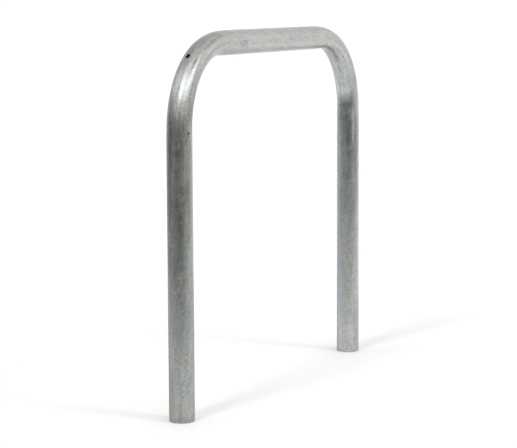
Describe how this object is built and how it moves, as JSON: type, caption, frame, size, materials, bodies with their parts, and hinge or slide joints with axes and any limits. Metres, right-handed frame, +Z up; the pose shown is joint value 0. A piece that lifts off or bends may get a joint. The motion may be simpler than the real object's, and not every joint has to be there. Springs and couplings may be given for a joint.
{
  "type": "hoop bike rack",
  "caption": "Round steel tube bent into a square-shouldered hoop that stands on its open leg ends, for leaning and locking a bicycle.",
  "frame": {"origin": "on the ground, midway between the two leg ends", "axes": "+Z up, +X along the top rail from the bend with the vent hole to the other, +Y square to the hoop"},
  "size_m": [0.85, 0.05, 0.75],
  "materials": {
    "zinc_coated_steel": "hot-dip galvanised, dull silver grey"
  },
  "bodies": {
    "root": {"left_leg": "zinc_coated_steel", "left_bend": "zinc_coated_steel", "top_rail": "zinc_coated_steel", "right_bend": "zinc_coated_steel", "right_leg": "zinc_coated_steel"}
  },
  "joints": []
}
